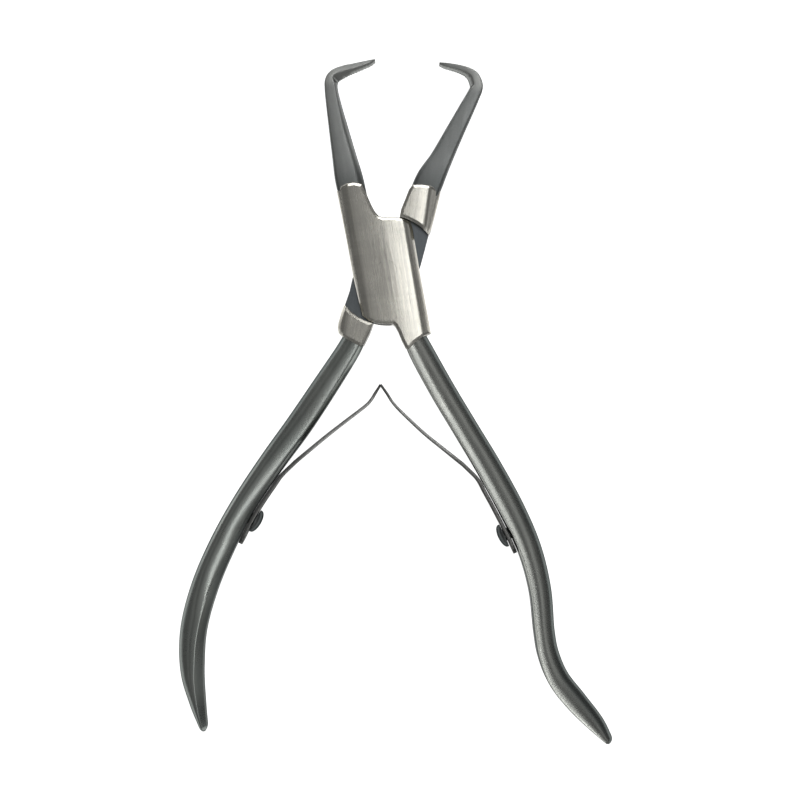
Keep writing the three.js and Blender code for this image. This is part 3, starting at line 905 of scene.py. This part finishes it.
def makeTongueLever():
    turn = -joint["halfOpen"]
    pad = brushedSteel("padSteelTongue", turn, padLook)
    jawSteel = satinSteel("jawSteelTongue", turn, shadedTongueJawLook)
    handleSteel = satinSteel("handleSteelTongue", turn, shadedTongueHandleLook)
    inside = satinSteel("tongueSteel", turn, tongueLook)
    slope = joint["grindSlope"]
    upper = groundBlock("tongueLeverShown", upperShoulderOutline(), blocks["upperProfile"], blocks["rim"], slope)
    lower = groundBlock("lowerShoulder", lowerShoulderOutline(), blocks["lowerProfile"], blocks["rim"], slope)
    half = joint["tongueThickness"] / 2
    tongue = prism("tongue", tongueOutline(1), joint["middle"] - half, joint["middle"] + half)
    lever = painted(upper, pad)
    others = [painted(tongue, inside), painted(lower, pad), painted(jawBar("tongueJaw", tongueJaw), jawSteel),
              painted(handleBar("tongueHandle", tongueHandle), handleSteel)]
    joined(lever, others, "UNION")
    reach = joint["boreReach"]
    bore = painted(rod("bore", joint["boreRadius"], -reach, joint["thickness"] + reach), inside)
    joined(lever, [bore, painted(screwHole(tongueSpring), inside)], "DIFFERENCE")
    settle(lever, turn, levelShading(lever))
    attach(lever, "tongue_lever_body")
    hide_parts("tongue_lever")
    print("tongue lever made")


pivotPin = {
    "radius": 2.244, "around": 64,
    "rim": [(0, 0.03), (0.02, 0.01), (0.04, 0)],
}


def makePin():
    turn = joint["halfOpen"]
    count = pivotPin["around"]
    outline = arc(pivotPin["radius"], 0, 360 * (count - 1) / count, count - 1)
    pin = groundBlock("pivotPinShown", outline, blocks["boxProfile"], pivotPin["rim"], joint["grindSlope"])
    painted(pin, brushedSteel("pinSteel", turn, padLook))
    settle(pin, turn, levelShading(pin))
    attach(pin, "box_lever_body")
    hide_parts("pivot_pin")
    print("pin made")


def makeSpring(side, which, lever, shape):
    turn = which["ownAngle"]
    strip, path, flex = leafStrip(side + "LeafSpring", which)
    painted(strip, brushedSteel(side + "LeafSteel", turn, leafLook))
    middle, half = joint["middle"], spring["forkWidth"] / 2
    past, high = spring["cutPast"], spring["cutHigh"]
    if shape == "fork":
        cuts = [endBlock("forkCut", path, spring["forkDepth"], past, middle - half, middle + half)]
    else:
        tab = half - spring["tabClearance"]
        before = spring["tabLength"] - spring["tabOverrun"]
        cuts = [endBlock("tabCut", path, before, past, middle + tab, middle + high),
                endBlock("tabCut", path, before, past, middle - high, middle - tab)]
    joined(strip, cuts, "DIFFERENCE")
    joined(strip, [screwHole(which)], "DIFFERENCE")
    painted(strip, strip.data.materials[0])
    settle(strip, turn, levelShading(strip))
    bend = spring["bendLength"]
    inFoot, inBlade = path[spring["footRings"] - 2][:2], path[spring["footRings"] + 8][:2]
    tail, head = towards(flex, inFoot, bend), towards(flex, inBlade, bend)
    start, end = ((*turned(point, turn), middle) for point in (tail, head))
    tuple(c * mm for c in start)
    tuple(c * mm for c in end)
    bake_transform(strip)
    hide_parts(side + "_leaf_foot", side + "_leaf_blade")
    screw = springScrew(side + "ScrewShown", which, satinSteel(side + "ScrewSteel", turn, screwLook))
    settle(screw, turn, levelShading(screw))
    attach(screw, lever)
    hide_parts(side + "_spring_screw")
    print(side + " spring made")


makeBoxLever()
makeTongueLever()
makePin()
makeSpring("right", boxSpring, "box_lever_body", "fork")
makeSpring("left", tongueSpring, "tongue_lever_body", "tab")


# Floor, light and camera

studio = {
    "floorSize": 6, "floorDrop": 0.0001, "floorGlow": 0.92, "world": 0.13,
    # name: (place in mm, aimed at, width, length, watts)
    "lamps": {
        "overhead": ((165, 170, 900), (0, -30, 0), 0.12, 0.8, 0.85),
        "overheadNear": ((170, -400, 900), (0, -30, 0), 0.14, 0.18, 0.36),
        "overheadLeft": ((-170, 60, 900), (0, -30, 0), 0.4, 1.1, 0.2),
        "leftSide": ((-700, -30, 640), (0, -30, 0), 0.16, 1.2, 0.1),
        "rightSide": ((700, -30, 640), (0, -30, 0), 0.16, 1.2, 0.28),
        "farEnd": ((0, 800, 560), (0, 0, 0), 0.8, 0.2, 2.1),
        "nearEnd": ((0, -850, 560), (0, 0, 0), 0.8, 0.2, 0.6),
    },
    "cameraPlace": (3.06, -30.2, 294), "lens": 55.5,
}


def makeFloor():
    startAlone()
    bpy.ops.mesh.primitive_plane_add(size=studio["floorSize"], location=(0, 0, -studio["floorDrop"]))
    floor = bpy.context.object
    floor.name = "paleFloor"
    g = Graph("paleFloorPaint")
    place = g.add("ShaderNodeTexCoord", {}, {}).out("Object")
    cloud = g.noise(place, (8, 8, 8), 3)
    colour = g.mix(cloud, rgb(0.9, 0.9, 0.9), rgb(0.94, 0.94, 0.94))
    painted(floor, g.surface({
        "Base Color": colour, "Roughness": 0.7, "Emission Color": rgb(1, 1, 1),
        "Emission Strength": studio["floorGlow"],
    }))


def makeLight():
    world = bpy.data.worlds.new("studioAir")
    bpy.context.scene.world = world
    world.use_nodes = True
    world.node_tree.nodes["Background"].inputs["Color"].default_value = rgb(1, 1, 1)
    world.node_tree.nodes["Background"].inputs["Strength"].default_value = studio["world"]
    for name, (place, aim, width, length, watts) in studio["lamps"].items():
        startAlone()
        bpy.ops.object.light_add(type="AREA", location=Vector(place) * mm)
        lamp = bpy.context.object
        lamp.name = name
        lamp.data.shape = "RECTANGLE"
        lamp.data.size, lamp.data.size_y = width, length
        lamp.data.energy = watts
        back = (Vector(place) - Vector(aim)).normalized()
        across = Vector((0, 1, 0)).cross(back).normalized()
        lamp.rotation_euler = Matrix((across, back.cross(across), back)).transposed().to_euler()


def makeCamera():
    startAlone()
    bpy.ops.object.camera_add(location=Vector(studio["cameraPlace"]) * mm, rotation=(0, 0, 0))
    camera = bpy.context.object
    camera.data.sensor_width = 36
    camera.data.lens = studio["lens"]
    camera.data.clip_start = 0.01
    bpy.context.scene.camera = camera
    bpy.context.scene.view_settings.view_transform = "Standard"


makeFloor()
makeLight()
makeCamera()
print("studio made")
